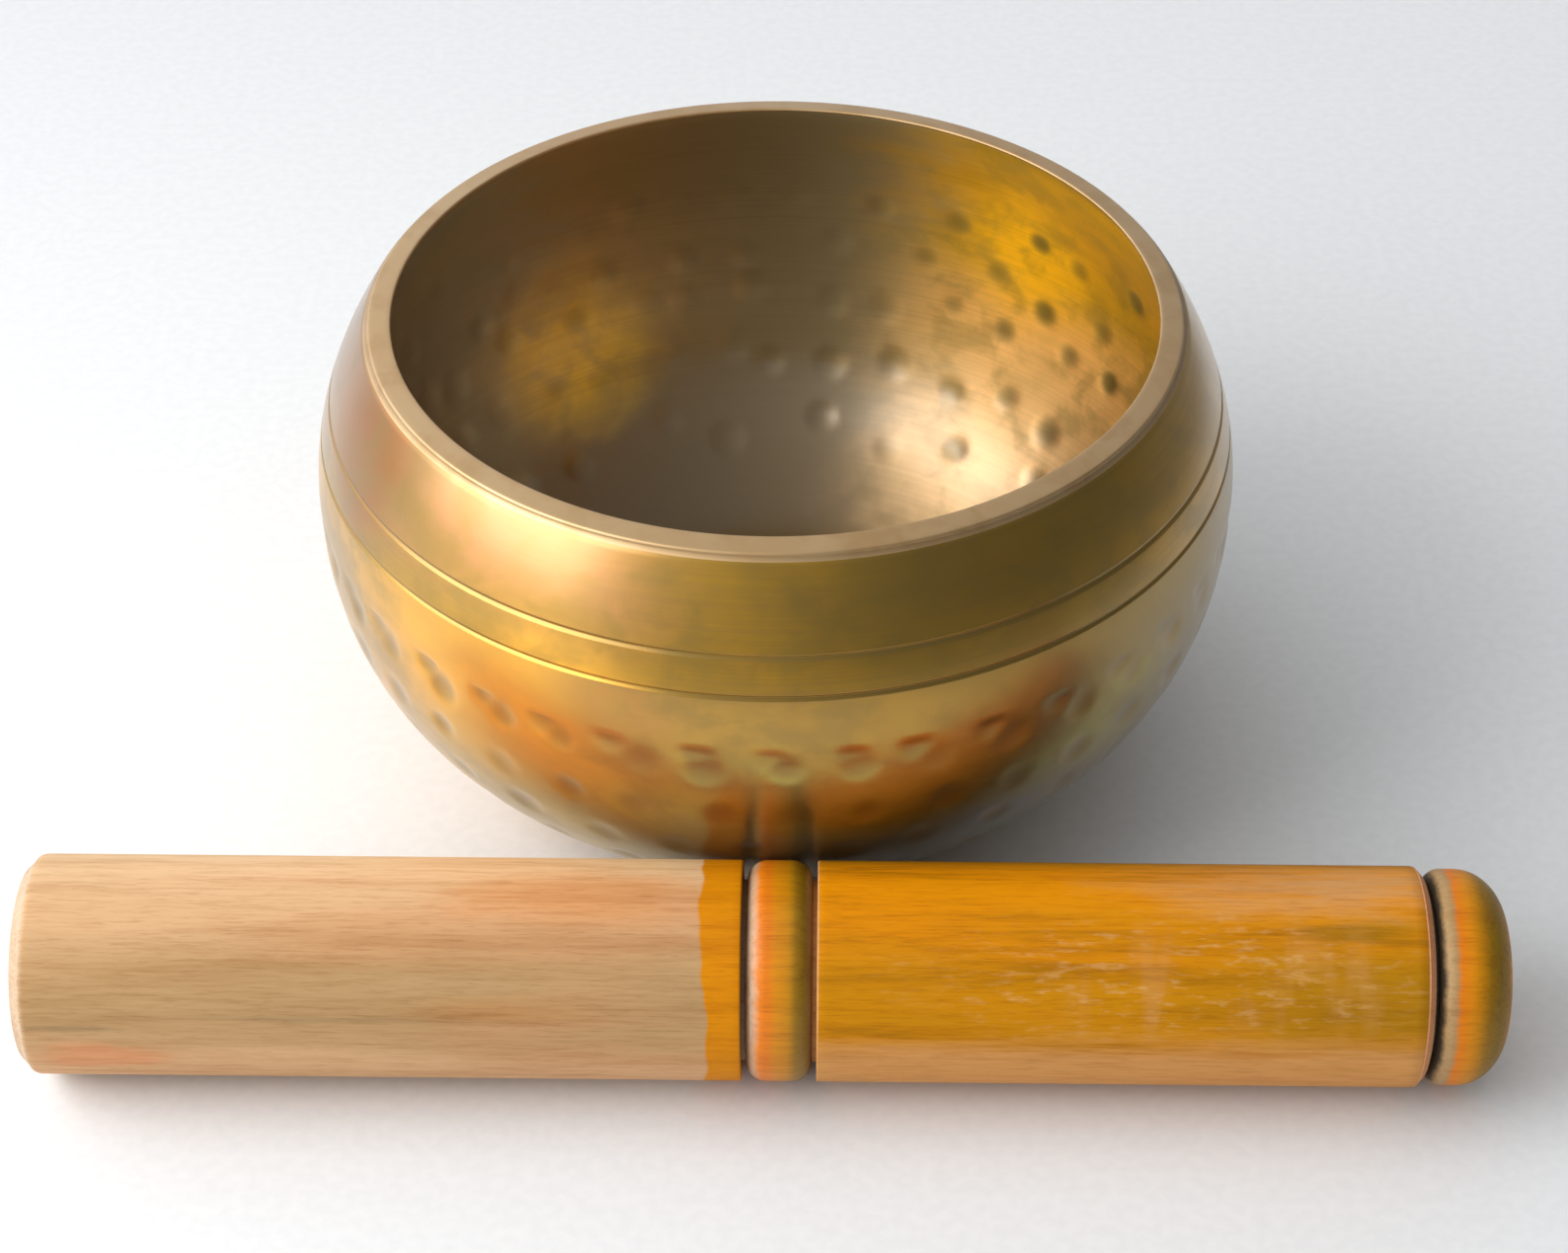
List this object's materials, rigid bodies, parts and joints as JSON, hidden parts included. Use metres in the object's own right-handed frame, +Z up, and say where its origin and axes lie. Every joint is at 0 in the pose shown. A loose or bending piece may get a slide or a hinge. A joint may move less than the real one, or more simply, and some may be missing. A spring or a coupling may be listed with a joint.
{
  "type": "singing bowl",
  "caption": "Round hammered bronze singing bowl with a turned-in rim, turned grooves and a flat foot, with a loose turned wooden mallet lying beside it.",
  "frame": {"origin": "centre of the bowl's flat foot, on the surface that the bowl and the mallet stand on", "axes": "+Z up, out of the bowl's mouth; +X along the mallet towards its knob; the mallet lies on the -Y side"},
  "size_m": [0.1502, 0.1179, 0.0556],
  "materials": {
    "bronze": "aged satin bronze, turned fine lines on the upper band, hand-hammered dents below and inside",
    "mallet_wood": "bare pale wood on the striking half, worn translucent orange stain on the handle, bead and knob"
  },
  "bodies": {
    "bowl": {"bowl": "bronze"},
    "mallet": {"mallet": "mallet_wood"}
  },
  "joints": [
    {"name": "mallet_lift", "type": "slide", "parent": "bowl", "child": "mallet", "axis": [0, -0.7071, 0.7071], "range_m": [0, 0.12]}
  ]
}
